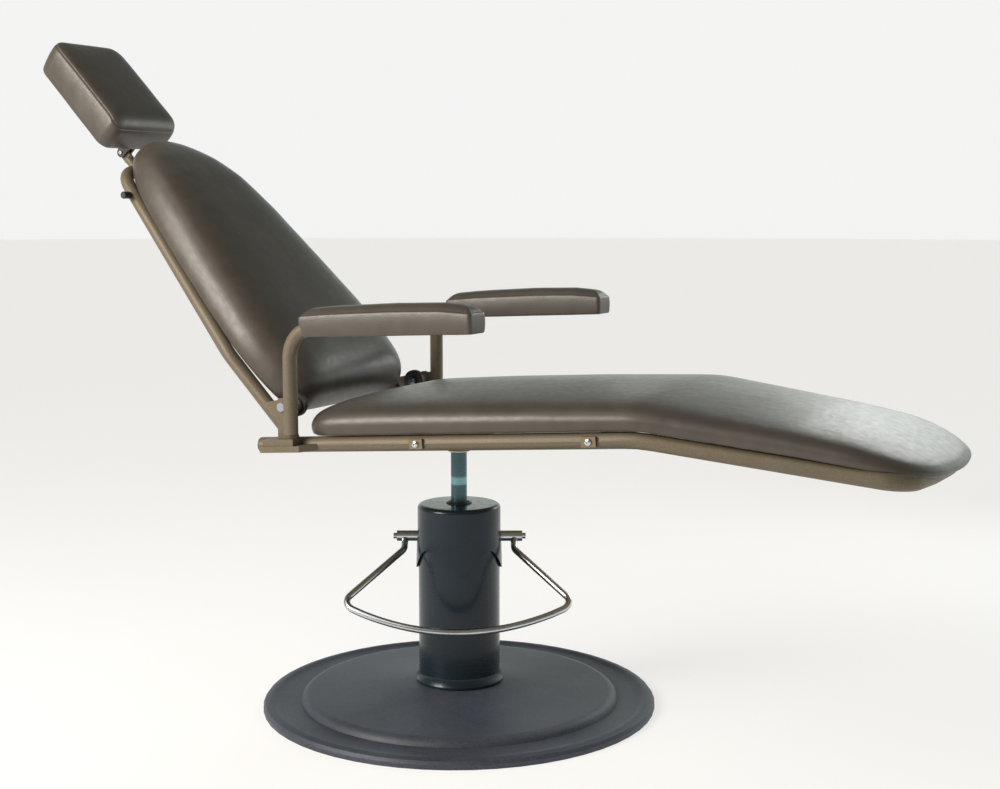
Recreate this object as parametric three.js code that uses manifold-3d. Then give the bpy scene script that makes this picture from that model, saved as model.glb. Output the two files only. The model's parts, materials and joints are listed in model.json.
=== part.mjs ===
// Dental patient chair on a foot-pumped hydraulic column.
// Millimetres, +Z up. +X runs towards the patient's feet, +Y towards the patient's left.
// The origin is the centre of the pump foot's underside, on the column axis, at floor level.
import * as THREE from 'three';
import * as BufferGeometryUtils from 'three/addons/utils/BufferGeometryUtils.js';
import Module from 'manifold-3d';

const wasm = await Module();
wasm.setup();

// ---- driving dimensions ----

const GAP = 0.3;                 // clearance between pieces that touch
const DEG = Math.PI / 180;

const BASE_R = 368;              // outer radius of the round base
const COLUMN_R = 76;             // outer radius of the column tube
const COLUMN_WALL = 4;
const COLUMN_TOP = 304;
const CAP_TOP = 380;             // top face of the column cap
const DOME_TOP = 44;             // where the base casting meets the column
const ROD_R = 15;                // piston rod
const ROD_TOP = 478;             // shoulder that carries the seat
const CYLINDER_R = 20;
const PISTON_Z = 150;            // underside of the piston with the chair as it stands

const PUMP_YAW = 27.4;           // the pump shaft's turn about Z from the seat's X axis
const SHAFT_SET_BACK = 36;       // the shaft passes behind the hydraulic cylinder
const SHAFT_Z = 310;
const SHAFT_R = 10.2;
const SHAFT_HALF = 118.5;
const PEDAL_LEAN = 55;           // pedal loop's angle out from straight down
const PEDAL_ROD_R = 6.4;

const RAIL_Y = 232;              // centre line of each seat rail
const RAIL_R = 14;
const RAIL_WALL = 2;
const RAIL_Z = 525;              // rail centre line above the column axis
const SEAT_RAKE = 4.7;           // the foot end stands higher than the hip end
const RAIL_REAR = -277;
const KNEE_X = 454;
const KNEE_DROP = 10.5;
const FOOT_LENGTH = 440;         // knee to the front bar's centre line

const FOOT_TAPER = 0.08;         // the leg rest narrows on each side by this much per mm

const SEAT_HALF = 247;           // half width of the seat pad
const BOARD_T = 12;              // plywood under each pad

const POST_Y = 259;              // arm posts stand outside the rails
const POST_X = -195;
const POST_R = 13;
const ARM_TILT = 3;
const ARM_WIDTH = 56;
const ARM_REAR = -158;
const ARM_FRONT = 181;
const ARM_BOTTOM = 713;          // underside of the arm pad above the column axis
const ARM_SIDE_H = 41;

const PIVOT = new THREE.Vector3(-218, 0, 577);
const RECLINE = 46;              // backrest's angle above level
const BACK_TUBE_R = 13;
const BACK_TUBE_SET = -50;       // the back tubes run behind the pivot line
const BACK_TUBE_Y = 205;
const BACK_KINK = 165;           // the back tubes run parallel up to here
const BACK_TAPER = 0.2;          // above it each closes in by this much per mm
const EAR_INSIDE = BACK_TUBE_Y + 8.2;
const BACK_TOP = 632;
const BACK_PAD_T = 85;
const BACK_PAD_TOP = 682;

const BAR_SET = -84;             // headrest bar behind the back tubes
const BAR_R = 9.5;
const HINGE_Z = 722;
const LOCK_Z = 568;
const HEAD_W = 190;
const HEAD_T = 76;

// ---- materials ----

const material = (color, roughness, metalness) =>
  new THREE.MeshStandardMaterial({ color, roughness, metalness });

const PAINT = () => material(0x9c8d70, 0.55, 0.3);
const VINYL = () => material(0x5d564d, 0.4, 0);
const PLYWOOD = () => material(0xa58a60, 0.8, 0);
const SLATE = () => material(0x34343f, 0.6, 0.2);
const GLOSS_BLACK = () => material(0x1f282e, 0.25, 0.1);
const CHROME = () => material(0xc9c9cc, 0.15, 1);
const STEEL = () => material(0x8c8f94, 0.35, 0.9);
const ROD_STEEL = () => material(0x2a5358, 0.3, 0.7);
const RUBBER = () => material(0x151515, 0.8, 0);

// ---- solids ----

// A manifold from a closed three.js geometry, turned outward if its winding faces in.
function solid(geometry) {
  const bare = geometry.clone();
  bare.deleteAttribute('normal');
  bare.deleteAttribute('uv');
  const merged = BufferGeometryUtils.mergeVertices(bare, 1e-3);
  const positions = merged.attributes.position;
  const index = Array.from(merged.index.array);
  const corners = [new THREE.Vector3(), new THREE.Vector3(), new THREE.Vector3()];
  const kept = [];
  let volume = 0;
  for (let i = 0; i < index.length; i += 3) {
    const [a, b, c] = index.slice(i, i + 3);
    if (a === b || b === c || c === a) continue;
    kept.push(a, b, c);
    corners.forEach((corner, k) => corner.fromBufferAttribute(positions, index[i + k]));
    volume += corners[0].dot(corners[1].clone().cross(corners[2]));
  }
  if (volume < 0) {
    for (let i = 0; i < kept.length; i += 3) {
      [kept[i], kept[i + 1]] = [kept[i + 1], kept[i]];
    }
  }
  return new wasm.Manifold(new wasm.Mesh({
    numProp: 3,
    vertProperties: new Float32Array(positions.array),
    triVerts: new Uint32Array(kept),
  }));
}

function toGeometry(manifold) {
  const mesh = manifold.getMesh();
  const geometry = new THREE.BufferGeometry();
  geometry.setAttribute('position', new THREE.BufferAttribute(mesh.vertProperties, mesh.numProp));
  geometry.setIndex(new THREE.BufferAttribute(mesh.triVerts, 1));
  geometry.computeVertexNormals();
  return geometry;
}

// A geometry moved and turned before it joins a cut or a union.
function placed(geometry, { x = 0, y = 0, z = 0, rx = 0, ry = 0, rz = 0 } = {}) {
  const matrix = new THREE.Matrix4().makeRotationFromEuler(new THREE.Euler(rx * DEG, ry * DEG, rz * DEG));
  matrix.setPosition(x, y, z);
  return solid(geometry.clone().applyMatrix4(matrix));
}

function add(parent, name, shape, look) {
  const geometry = shape.isBufferGeometry ? toGeometry(solid(shape)) : toGeometry(shape);
  const mesh = new THREE.Mesh(geometry, look);
  mesh.name = name;
  parent.add(mesh);
  return mesh;
}

function group(parent, { x = 0, y = 0, z = 0, ry = 0, rz = 0 } = {}) {
  const inner = new THREE.Group();
  inner.position.set(x, y, z);
  inner.rotation.set(0, ry * DEG, rz * DEG);
  parent.add(inner);
  return inner;
}

// A turned piece about Z from a closed outline of [radius, z] points.
function turned(outline, segments = 40) {
  const points = outline.map(([r, z]) => new THREE.Vector2(r, z));
  const closed = outline[0][0] === 0 ? points : [...points, points[0]];
  return new THREE.LatheGeometry(closed, segments).rotateX(Math.PI / 2);
}

const ring = (inner, outer, low, high, segments) =>
  turned([[inner, low], [outer, low], [outer, high], [inner, high]], segments);

const disc = (radius, low, high, segments) =>
  turned([[0, low], [radius, low], [radius, high], [0, high]], segments);

const box = (x0, x1, y0, y1, z0, z1) =>
  new THREE.BoxGeometry(x1 - x0, y1 - y0, z1 - z0)
    .translate((x0 + x1) / 2, (y0 + y1) / 2, (z0 + z1) / 2);

// A round bar along Y or X, for pins and holes.
const barY = (radius, y0, y1, x, z, sides = 16) =>
  new THREE.CylinderGeometry(radius, radius, y1 - y0, sides).translate(x, (y0 + y1) / 2, z);

const barX = (radius, x0, x1, y, z, sides = 16) =>
  new THREE.CylinderGeometry(radius, radius, x1 - x0, sides)
    .rotateZ(Math.PI / 2).translate((x0 + x1) / 2, y, z);

// A side view outline of [x, z] points, thickened along Y.
function sideSlab(outline, y0, y1) {
  const shape = new THREE.Shape(outline.map(([x, z]) => new THREE.Vector2(x, z)));
  return new THREE.ExtrudeGeometry(shape, { depth: y1 - y0, bevelEnabled: false })
    .rotateX(Math.PI / 2).translate(0, y1, 0);
}

// A cross-section of [y, z] points, mirrored in Y and drawn out along X.
function crossSlab(outline, x0, x1) {
  const half = outline.map(([y, z]) => new THREE.Vector2(y, z));
  const other = outline.map(([y, z]) => new THREE.Vector2(-y, z)).reverse();
  const shape = new THREE.Shape([...half, ...other]);
  return new THREE.ExtrudeGeometry(shape, { depth: x1 - x0, bevelEnabled: false })
    .rotateX(Math.PI / 2).rotateZ(Math.PI / 2).translate(x0, 0, 0);
}

// A plan view shape, thickened along Z.
const planSlab = (shape, z0, z1, curveSegments = 6) =>
  new THREE.ExtrudeGeometry(shape, { depth: z1 - z0, bevelEnabled: false, curveSegments })
    .translate(0, 0, z0);

// ---- bent tubes ----

// A path through given points, which an ExtrudeGeometry follows one step per point.
class BentPath extends THREE.Curve {
  constructor(points) {
    super();
    this.points = points;
  }
  getPoint(t) {
    const place = t * (this.points.length - 1);
    const start = Math.min(Math.floor(place), this.points.length - 2);
    return this.points[start].clone().lerp(this.points[start + 1], place - start);
  }
  getSpacedPoints() {
    return this.points;
  }
  getTangentAt(t) {
    const last = this.points.length - 1;
    const i = Math.round(t * last);
    const before = this.points[Math.max(i - 1, 0)];
    const after = this.points[Math.min(i + 1, last)];
    const tangent = after.clone().sub(before);
    if (i > 0 && i < last) {
      const arriving = this.points[i].clone().sub(before).normalize();
      const leaving = after.clone().sub(this.points[i]).normalize();
      tangent.copy(arriving.add(leaving));
    }
    return tangent.normalize();
  }
}

// Corners of [point, radius] become a smooth run of points, each bend an arc.
function bend(corners, step = 15) {
  const path = [corners[0][0].clone()];
  for (let i = 1; i < corners.length - 1; i += 1) {
    const [corner, radius] = corners[i];
    const back = corners[i - 1][0].clone().sub(corner).normalize();
    const ahead = corners[i + 1][0].clone().sub(corner).normalize();
    const turn = Math.PI - back.angleTo(ahead);
    if (!radius || turn < 1e-3) {
      path.push(corner.clone());
      continue;
    }
    const setBack = radius * Math.tan(turn / 2);
    const centre = corner.clone().addScaledVector(
      back.clone().add(ahead).normalize(), radius / Math.cos(turn / 2));
    const spoke = corner.clone().addScaledVector(back, setBack).sub(centre);
    const axis = ahead.clone().cross(back).normalize();
    const steps = Math.max(2, Math.ceil(turn / DEG / step));
    for (let k = 0; k <= steps; k += 1) {
      path.push(spoke.clone().applyAxisAngle(axis, turn * k / steps).add(centre));
    }
  }
  path.push(corners.at(-1)[0].clone());
  return path;
}

function tube(points, radius, wall = 0, curveSegments = 6) {
  const section = new THREE.Shape().absarc(0, 0, radius, 0, Math.PI * 2);
  if (wall) section.holes.push(new THREE.Path().absarc(0, 0, radius - wall, 0, Math.PI * 2));
  return new THREE.ExtrudeGeometry(section, {
    steps: points.length - 1, curveSegments, bevelEnabled: false, extrudePath: new BentPath(points),
  });
}

const v3 = (x, y, z) => new THREE.Vector3(x, y, z);

// ---- base, column and hydraulics ----

const chair = new THREE.Group();

function baseCasting() {
  const boss = COLUMN_R + GAP;
  return turned([
    [BASE_R - 9, 0], [BASE_R, 0], [BASE_R, 8], [BASE_R - 4, 13.5], [BASE_R - 12, 16.5],
    [BASE_R - 21, 16.5], [BASE_R - 28, 13], [298, 13], [295.5, 19], [289, 24.5], [280, 26.5],
    [225, 28.5], [170, 32], [130, 36.5], [102, 41], [boss, DOME_TOP],
    [boss, 8.6], [93, 8.6], [98, 32], [130, 28], [170, 24], [278, 18.5], [287, 15], [291, 6],
    [335, 6], [347, 9], [356, 8],
  ], 56);
}

function columnTube() {
  const wall = ring(COLUMN_R - COLUMN_WALL, COLUMN_R, 8.6, COLUMN_TOP, 40);
  const bushHoles = barX(13.6, -110, 110, SHAFT_SET_BACK, SHAFT_Z, 20).rotateZ(PUMP_YAW * DEG);
  return solid(wall).subtract(solid(bushHoles));
}

function columnBead() {
  const r = COLUMN_R + GAP;
  const z = DOME_TOP + 0.6;
  return turned([[r, z], [82, z], [82.4, z + 4], [80, z + 9], [78.4, z + 15], [78, z + 19], [r, z + 19]], 40);
}

// The cap's skirt hangs in four pointed lobes over the column tube.
function columnCap() {
  const skirtLow = 258;
  const skirtNotch = 301.6;
  const geometry = turned([
    [24.4, CAP_TOP], [69, CAP_TOP], [72.5, CAP_TOP - 0.7], [75.2, CAP_TOP - 2.5],
    [76.9, CAP_TOP - 5.2], [77.5, CAP_TOP - 8.5], [77.6, 326], [79.1, 307], [80.4, skirtLow],
    [76.6, skirtLow], [76.5, COLUMN_TOP + 0.6], [74.5, COLUMN_TOP + 2.6], [74.4, CAP_TOP - 8.5],
    [72, CAP_TOP - 5.4], [68, CAP_TOP - 4], [24.4, CAP_TOP - 4],
  ], 48);
  const position = geometry.attributes.position;
  const point = new THREE.Vector3();
  for (let i = 0; i < position.count; i += 1) {
    point.fromBufferAttribute(position, i);
    if (point.z > skirtLow + 1) continue;
    const quarter = Math.atan2(point.y, point.x) / (Math.PI / 2);
    const fromLobe = Math.abs(quarter - Math.round(quarter)) * 2;
    const rise = fromLobe * fromLobe * (3 - 2 * fromLobe);
    position.setZ(i, skirtLow + (skirtNotch - skirtLow) * rise);
  }
  const shaftHole = barX(13.6, -110, 110, SHAFT_SET_BACK, SHAFT_Z, 20);
  return solid(geometry).subtract(solid(shaftHole));
}

function rodWiper() {
  const r = ROD_R + GAP;
  const inCap = 24.4 - GAP;
  return turned([
    [r, 352], [16.6, 352], [16.6, 366.6], [inCap, 366.6], [inCap, CAP_TOP + 0.4], [21, CAP_TOP + 2.6],
    [r, CAP_TOP + 2.6],
  ], 24);
}

function hydraulicCylinder() {
  return ring(17, CYLINDER_R, 8.6, 366, 24);
}

function cylinderPiston() {
  const z = PISTON_Z;
  return turned([
    [8.3, z], [16.6, z], [16.6, z + 9], [14.8, z + 9], [14.8, z + 15], [16.6, z + 15],
    [16.6, z + 25], [8.3, z + 25],
  ], 24);
}

function pistonRod() {
  const pistonTop = PISTON_Z + 25 + GAP;
  return turned([
    [0, PISTON_Z - 2], [8, PISTON_Z - 2], [8, pistonTop], [ROD_R, pistonTop],
    [ROD_R, ROD_TOP], [12, ROD_TOP], [12, 503], [0, 503],
  ], 24);
}

const shaftBush = (side) => {
  const bore = barX(SHAFT_R + GAP, 40, 110, SHAFT_SET_BACK, SHAFT_Z, 20);
  const body = barX(13.2, 58, 76, SHAFT_SET_BACK, SHAFT_Z, 20);
  const bush = solid(body).subtract(solid(bore));
  return side > 0 ? bush : bush.mirror([1, 0, 0]);
};

function pumpShaft() {
  const main = barX(SHAFT_R, -SHAFT_HALF, SHAFT_HALF, SHAFT_SET_BACK, SHAFT_Z, 20);
  const stud = barX(5.6, -SHAFT_HALF - 6.5, SHAFT_HALF + 6.5, SHAFT_SET_BACK, SHAFT_Z, 12);
  return solid(main).add(solid(stud));
}

// A torsion spring beside the crank: one turn of wire with a leg to the cap wall.
function returnSpring() {
  const coilR = SHAFT_R + 3.4;
  const points = [];
  for (let i = 0; i <= 30; i += 1) {
    const turn = i / 12 * Math.PI * 2;
    points.push(v3(-30 + i * 0.5, SHAFT_SET_BACK + coilR * Math.sin(turn), SHAFT_Z + coilR * Math.cos(turn)));
  }
  const last = points.at(-1);
  points.push(last.clone().add(v3(0.5, 7, -2)), last.clone().add(v3(0.5, 15, -5)));
  return tube(points, 1.2, 0, 3);
}

const PLUNGER_Y = SHAFT_SET_BACK + 20;

function pumpCrank() {
  const hub = barX(13.2, -9, 9, SHAFT_SET_BACK, SHAFT_Z, 20);
  const finger = box(-4, 4, SHAFT_SET_BACK, PLUNGER_Y - 5.5, SHAFT_Z - 4, SHAFT_Z + 4);
  const bore = barX(SHAFT_R + GAP, -20, 20, SHAFT_SET_BACK, SHAFT_Z, 20);
  return solid(hub).add(solid(finger)).subtract(solid(bore));
}

// The crank's finger sits between the plunger's two collars and lifts the upper one.
function pumpPlunger() {
  return turned([
    [0, 150], [5, 150], [5, SHAFT_Z - 13], [6, SHAFT_Z - 13], [6, SHAFT_Z - 8], [3.8, SHAFT_Z - 8],
    [3.8, SHAFT_Z + 8], [6, SHAFT_Z + 8], [6, SHAFT_Z + 13], [0, SHAFT_Z + 13],
  ], 16).translate(0, PLUNGER_Y, 0);
}

function pumpBarrel() {
  return ring(5.3, 10, 8.6, 260, 20).translate(0, PLUNGER_Y, 0);
}

// The foot pedal: two legs out of the shaft and a front bar that follows the base's curve.
function pedalLoop() {
  const lean = PEDAL_LEAN * DEG;
  const onPlane = (u, v) => v3(u, SHAFT_SET_BACK - v * Math.sin(lean), SHAFT_Z - v * Math.cos(lean));
  const legU = 103;
  const cornerU = 213;
  const cornerV = 168;
  const frontV = 235;
  const bowed = (u) => cornerV + (frontV - cornerV) * (1 - (u / cornerU) ** 2);
  const bow = [-130, -65, 0, 65, 130].map((u) => [onPlane(u, bowed(u)), 0]);
  return tube(bend([
    [onPlane(-legU, SHAFT_R + GAP + 0.2), 0],
    [onPlane(-legU, 34), 20],
    [onPlane(-cornerU, cornerV), 22],
    ...bow,
    [onPlane(cornerU, cornerV), 22],
    [onPlane(legU, 34), 20],
    [onPlane(legU, SHAFT_R + GAP + 0.2), 0],
  ], 18), PEDAL_ROD_R, 0, 5);
}

add(chair, 'base_casting', baseCasting(), SLATE());
add(chair, 'pump_foot', disc(92, 0, 8.3, 40), STEEL());
add(chair, 'column_tube', columnTube(), GLOSS_BLACK());
add(chair, 'column_bead', columnBead(), GLOSS_BLACK());
add(chair, 'rod_wiper', rodWiper(), RUBBER());
add(chair, 'hydraulic_cylinder', hydraulicCylinder(), STEEL());
add(chair, 'cylinder_piston', cylinderPiston(), STEEL());
add(chair, 'piston_rod', pistonRod(), ROD_STEEL());
add(chair, 'thrust_washer', ring(12.3, 20, ROD_TOP + GAP, ROD_TOP + 3), STEEL());

const pump = group(chair, { rz: PUMP_YAW });
add(pump, 'column_cap', columnCap(), GLOSS_BLACK());
add(pump, 'shaft_bush_right', shaftBush(-1), STEEL());
add(pump, 'shaft_bush_left', shaftBush(1), STEEL());
add(pump, 'pump_shaft', pumpShaft(), CHROME());
add(pump, 'pedal_loop', pedalLoop(), CHROME());
add(pump, 'pump_crank', pumpCrank(), STEEL());
add(pump, 'pump_plunger', pumpPlunger(), STEEL());
add(pump, 'pump_barrel', pumpBarrel(), STEEL());
add(pump, 'pedal_return_spring', returnSpring(), STEEL());

// ---- seat ----

const seat = group(chair, { z: RAIL_Z, ry: -SEAT_RAKE });

// A point of the foot part, given along and across the slope that starts at the knee.
function onFoot(along, y, up = 0) {
  const drop = KNEE_DROP * DEG;
  return v3(
    KNEE_X + along * Math.cos(drop) + up * Math.sin(drop), y,
    -along * Math.sin(drop) + up * Math.cos(drop));
}

const CROSS_BARS = { rear: -150, middle: 54, front: 376 };
const CLIPPED = ['middle', 'front'];

function seatFrame() {
  const cornerAt = FOOT_LENGTH - 20;
  const cornerY = RAIL_Y - FOOT_TAPER * cornerAt;
  const half = [
    [v3(RAIL_REAR, RAIL_Y, 0), 0],
    [v3(KNEE_X, RAIL_Y, 0), 220],
    [onFoot(cornerAt, cornerY), 50],
    [onFoot(FOOT_LENGTH - 5, cornerY * 0.45), 0],
  ];
  const mirrored = half.map(([p, r]) => [v3(p.x, -p.y, p.z), r]);
  const path = bend([...mirrored, [onFoot(FOOT_LENGTH, 0), 0], ...half.reverse()]);
  const frame = solid(tube(path, RAIL_R, RAIL_WALL));
  return CLIPPED.reduce(
    (cut, at) => cut.subtract(solid(barY(3.3, -300, 300, CROSS_BARS[at], 0, 10))), frame);
}

function railsAt(radius) {
  return [-1, 1].map((side) => solid(barX(radius, RAIL_REAR - 50, KNEE_X - 25, side * RAIL_Y, 0, 24)));
}

function crossBar(x, screwed) {
  let bar = solid(box(x - 14, x + 14, -RAIL_Y, RAIL_Y, -6, 6));
  railsAt(RAIL_R + GAP).forEach((rail) => {
    bar = bar.subtract(rail);
  });
  if (screwed) bar = bar.subtract(solid(barY(3.3, -300, -185, x, 0, 10)));
  if (screwed) bar = bar.subtract(solid(barY(3.3, 185, 300, x, 0, 10)));
  return bar;
}

// A saddle clip on the rail's outer face, where a screw reaches through to the cross bar.
function frameClip(x, side) {
  const outer = side * (RAIL_Y + RAIL_R + 4);
  const inner = side * (RAIL_Y + 8);
  let clip = solid(box(x - 13, x + 13, Math.min(outer, inner), Math.max(outer, inner), -8.5, 8.5));
  railsAt(RAIL_R + GAP).forEach((rail) => {
    clip = clip.subtract(rail);
  });
  return clip.subtract(solid(barY(3.3, -300, 300, x, 0, 10)));
}

// A dark plug closes each rail's open rear end.
function railPlug() {
  return turned([
    [0, -2.6], [RAIL_R - 1.4, -2.6], [RAIL_R - 0.3, -1.6], [RAIL_R - 0.3, -GAP],
    [RAIL_R - RAIL_WALL - 0.5, -GAP], [RAIL_R - RAIL_WALL - 0.5, 14], [0, 14],
  ], 20).rotateY(Math.PI / 2);
}

function seatPlate() {
  const top = -6 - GAP;
  return solid(box(-172, 76, -90, 90, top - 8, top)).subtract(solid(barZ(6, top - 20, top + 20)));
}

const barZ = (radius, z0, z1) => disc(radius, z0, z1, 16);

function swivelHub() {
  const blank = turned([
    [12.4, ROD_TOP + 3.4], [27, ROD_TOP + 3.4], [31, ROD_TOP + 8], [31, 530], [12.4, 530],
  ], 32);
  const plateUnderside = -6 - GAP - 8 - GAP;
  const above = placed(box(-200, 200, -200, 200, plateUnderside, 200), { z: RAIL_Z, ry: -SEAT_RAKE });
  return solid(blank).subtract(above);
}

// Plan outline shared by the seat board and pad, drawn along the seat's length.
function seatPlan(half, rear, front, rearR, footR) {
  const plan = new THREE.Shape();
  const toe = half - FOOT_TAPER * (front - footR - KNEE_X);
  plan.moveTo(rear + rearR, -half);
  plan.lineTo(KNEE_X, -half);
  plan.lineTo(front - footR, -toe);
  plan.bezierCurveTo(front - footR * 0.46, -toe, front - 14, -toe * 0.75, front - 5, -toe * 0.35);
  plan.quadraticCurveTo(front, -toe * 0.12, front, 0);
  plan.quadraticCurveTo(front, toe * 0.12, front - 5, toe * 0.35);
  plan.bezierCurveTo(front - 14, toe * 0.75, front - footR * 0.46, toe, front - footR, toe);
  plan.lineTo(KNEE_X, half);
  plan.lineTo(rear + rearR, half);
  plan.quadraticCurveTo(rear, half, rear, half - rearR);
  plan.lineTo(rear, -half + rearR);
  plan.quadraticCurveTo(rear, -half, rear + rearR, -half);
  return plan;
}

// Side outline between two heights above the rail's centre line, along seat and foot.
function seatProfile(rear, foot, low, heights) {
  const upper = heights.map(([along, up]) => {
    const p = along > 0 ? onFoot(along, 0, up) : v3(KNEE_X + along, 0, up);
    return [p.x, p.z];
  });
  const tip = onFoot(foot, 0, low);
  return [[rear, low], ...upper, [tip.x, tip.z], [onFoot(0, 0, low).x, low]];
}

const SEAT_LOW = RAIL_R + GAP + 0.2;
const CROWN_DROP = 2.2;          // the leg rest's pad thins towards the toes

function seatPad() {
  const rear = -191;
  const foot = FOOT_LENGTH + 19;
  const profile = seatProfile(rear, foot, SEAT_LOW, [
    [rear - KNEE_X, SEAT_LOW + 16], [rear - KNEE_X + 10, SEAT_LOW + 44], [rear - KNEE_X + 44, SEAT_LOW + 63],
    [rear - KNEE_X + 110, SEAT_LOW + 71], [-180, SEAT_LOW + 67], [-20, SEAT_LOW + 60], [130, SEAT_LOW + 54],
    [250, SEAT_LOW + 50], [330, SEAT_LOW + 46], [385, SEAT_LOW + 37], [foot - 34, SEAT_LOW + 26],
    [foot - 12, SEAT_LOW + 15], [foot, SEAT_LOW + 5],
  ]);
  const front = onFoot(foot, 0).x;
  const outer = solid(sideSlab(profile, -260, 260))
    .intersect(solid(planSlab(seatPlan(SEAT_HALF, rear, front, 60, 135), -120, 120)))
    .intersect(seatCrown());
  return outer.subtract(seatBoardBlock(GAP));
}

// The crown falls away to each side edge, and follows the leg rest's taper past the knee.
function seatCrown() {
  const section = new THREE.Shape([
    [-600, -60], [SEAT_HALF, -60], [SEAT_HALF, 22], [SEAT_HALF - 5, 35], [SEAT_HALF - 20, 45],
    [SEAT_HALF - 55, 54], [SEAT_HALF - 130, 65], [0, 73], [-600, 73],
  ].map(([y, z]) => new THREE.Vector2(y, z)));
  const crowned = (from, length, taper) => {
    const left = solid(new THREE.ExtrudeGeometry(section, { depth: length, bevelEnabled: false })
      .rotateX(Math.PI / 2).rotateZ(Math.PI / 2).translate(from, 0, 0)).rotate([0, 0, -taper]);
    return left.intersect(left.mirror([0, 1, 0]));
  };
  const along = crowned(-300, KNEE_X + 300, 0).translate([0, 0, SEAT_LOW]);
  const foot = crowned(-9, 520, Math.atan(FOOT_TAPER) / DEG)
    .rotate([0, KNEE_DROP + CROWN_DROP, 0])
    .translate([KNEE_X, 0, SEAT_LOW]);
  return along.add(foot);
}

function seatBoardBlock(grow) {
  const rear = -176 - grow;
  const foot = FOOT_LENGTH - 4 + grow;
  const top = SEAT_LOW + BOARD_T + grow;
  const profile = seatProfile(rear, foot, SEAT_LOW - grow * 4, [
    [rear - KNEE_X, top], [0, top], [foot, top],
  ]);
  const front = onFoot(foot, 0).x;
  return solid(sideSlab(profile, -250, 250))
    .intersect(solid(planSlab(seatPlan(SEAT_HALF - 12 + grow, rear, front, 50, 130), -120, 120, 5)));
}

add(seat, 'seat_frame', seatFrame(), PAINT());
for (const [name, x] of Object.entries(CROSS_BARS)) {
  const screwed = CLIPPED.includes(name);
  add(seat, `cross_bar_${name}`, crossBar(x, screwed), PAINT());
  if (!screwed) continue;
  add(seat, `frame_clip_${name}_right`, frameClip(x, -1), STEEL());
  add(seat, `frame_clip_${name}_left`, frameClip(x, 1), STEEL());
}
for (const [side, y] of [['right', -RAIL_Y], ['left', RAIL_Y]]) {
  const plug = add(seat, `rail_plug_${side}`, railPlug(), RUBBER());
  plug.position.set(RAIL_REAR, y, 0);
}
add(seat, 'seat_plate', seatPlate(), PAINT());
add(seat, 'seat_board', seatBoardBlock(0), PLYWOOD());
add(seat, 'seat_pad', seatPad(), VINYL());
add(chair, 'swivel_hub', swivelHub(), PAINT());

// ---- arms, one on each side; the right one is drawn and the left one mirrored ----

function armPost() {
  const tilt = ARM_TILT * DEG;
  const runZ = ARM_BOTTOM + 16;
  const along = (x) => v3(x, -POST_Y, runZ + x * Math.tan(tilt));
  const foot = v3(POST_X, -POST_Y, 530.5);
  return solid(tube(bend([[foot, 0], [along(POST_X), 55], [along(100), 0]], 12), POST_R, 2));
}

// The foot bar lies along the rail, with a block for the post and an upright for the pivot.
function armBracket() {
  const rake = SEAT_RAKE * DEG;
  const railZ = (x) => RAIL_Z + x * Math.tan(rake);
  const inner = -(RAIL_Y + RAIL_R + GAP);
  const outer = -(POST_Y + 17);
  const foot = new THREE.Shape();
  foot.moveTo(-245, outer);
  foot.lineTo(-168, outer);
  foot.lineTo(-150, inner);
  foot.lineTo(-262, inner);
  foot.quadraticCurveTo(-262, outer, -245, outer);
  const footBar = placed(planSlab(foot, -9, 2), { z: RAIL_Z, ry: -SEAT_RAKE });
  const block = placed(box(-247, -182, outer + 3, inner, 1, 14), { z: RAIL_Z, ry: -SEAT_RAKE });
  const plateY = [-252, -247];
  const upright = new THREE.Shape();
  upright.moveTo(-228, railZ(-228));
  upright.lineTo(-180, railZ(-180));
  upright.lineTo(-192, railZ(-192) + 34);
  upright.lineTo(-192, PIVOT.z + 14);
  upright.lineTo(-207, PIVOT.z + 15);
  upright.absarc(PIVOT.x, PIVOT.z, 16, Math.PI / 3, Math.PI * 1.02, false);
  upright.lineTo(-236, PIVOT.z - 14);
  upright.lineTo(-228, PIVOT.z - 28);
  const plate = new THREE.ExtrudeGeometry(upright, { depth: 5, bevelEnabled: false, curveSegments: 8 })
    .rotateX(Math.PI / 2).translate(0, plateY[1], 0);
  const post = solid(barZ(POST_R + GAP, 530, 700)).translate(POST_X, -POST_Y, 0);
  const postSeat = solid(box(-230, -170, -300, -240, 530.2, 700));
  const boltHole = solid(barY(5.3, -300, -200, PIVOT.x, PIVOT.z));
  const base = footBar.add(block).subtract(postSeat);
  const boss = solid(barY(10.5, plateY[1] - 1, -EAR_INSIDE - 6.4, PIVOT.x, PIVOT.z, 24));
  return base.add(solid(plate)).add(boss).subtract(post).subtract(boltHole);
}

// Height above floor of the arm pad's tilted lines.
const armLine = (z, x) => z + x * Math.tan(ARM_TILT * DEG);

function armPad() {
  const mid = (ARM_REAR + ARM_FRONT) / 2;
  const low = (x) => armLine(ARM_BOTTOM, x);
  const side = (x) => armLine(ARM_BOTTOM + ARM_SIDE_H, x);
  const profile = [
    [ARM_REAR + 11, low(ARM_REAR)], [ARM_FRONT - 6, low(ARM_FRONT)], [ARM_FRONT, low(ARM_FRONT) + 6],
    [ARM_FRONT, side(ARM_FRONT) - 4], [ARM_FRONT - 30, side(ARM_FRONT) + 5], [mid + 60, side(mid) + 14],
    [mid - 60, side(mid) + 10], [ARM_REAR + 40, side(ARM_REAR) + 7], [ARM_REAR, side(ARM_REAR) - 1],
  ];
  const half = ARM_WIDTH / 2;
  const crown = [
    [0, -20], [half, -20], [half, ARM_SIDE_H - 1], [half - 4, ARM_SIDE_H + 5], [half - 12, ARM_SIDE_H + 10],
    [0, ARM_SIDE_H + 14],
  ].map(([y, z]) => [y, z + ARM_BOTTOM]);
  return solid(sideSlab(profile, -POST_Y - half - 1, -POST_Y + half + 1))
    .intersect(skewed(crossSlab(crown, ARM_REAR - 20, ARM_FRONT + 20)))
    .subtract(armGroove()).subtract(armBoardBlock(GAP));
}

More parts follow.
